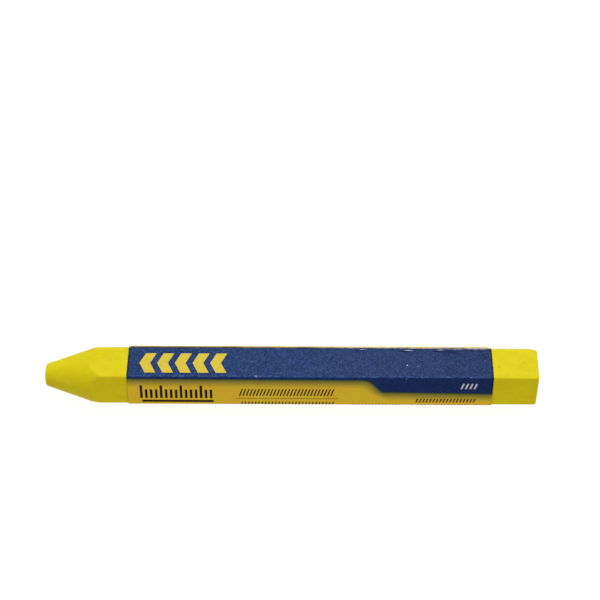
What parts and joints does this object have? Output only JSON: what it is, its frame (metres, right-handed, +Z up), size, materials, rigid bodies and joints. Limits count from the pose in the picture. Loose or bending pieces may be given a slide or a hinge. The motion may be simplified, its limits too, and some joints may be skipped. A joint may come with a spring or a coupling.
{
  "type": "wax marking crayon",
  "caption": "Hexagonal wax marking crayon with a blunt conical nose, in a printed paper sleeve that slides along the wax.",
  "frame": {"origin": "under the middle of the stick, on the surface that the crayon lies on", "axes": "+X along the stick towards its flat butt, with the nose at -X; +Z up, square to the flat that it lies on"},
  "size_m": [0.1142, 0.0148, 0.013],
  "materials": {
    "wax": "satin",
    "printed_paper": "satin",
    "paste": "matt"
  },
  "bodies": {
    "stick": {"wax_stick": "wax"},
    "sleeve": {"paper_label": "printed_paper", "paste_line": "paste"}
  },
  "joints": [
    {"name": "sleeve_slide", "type": "slide", "parent": "stick", "child": "sleeve", "axis": [1, 0, 0], "range_m": [-0.008, 0.1]}
  ]
}
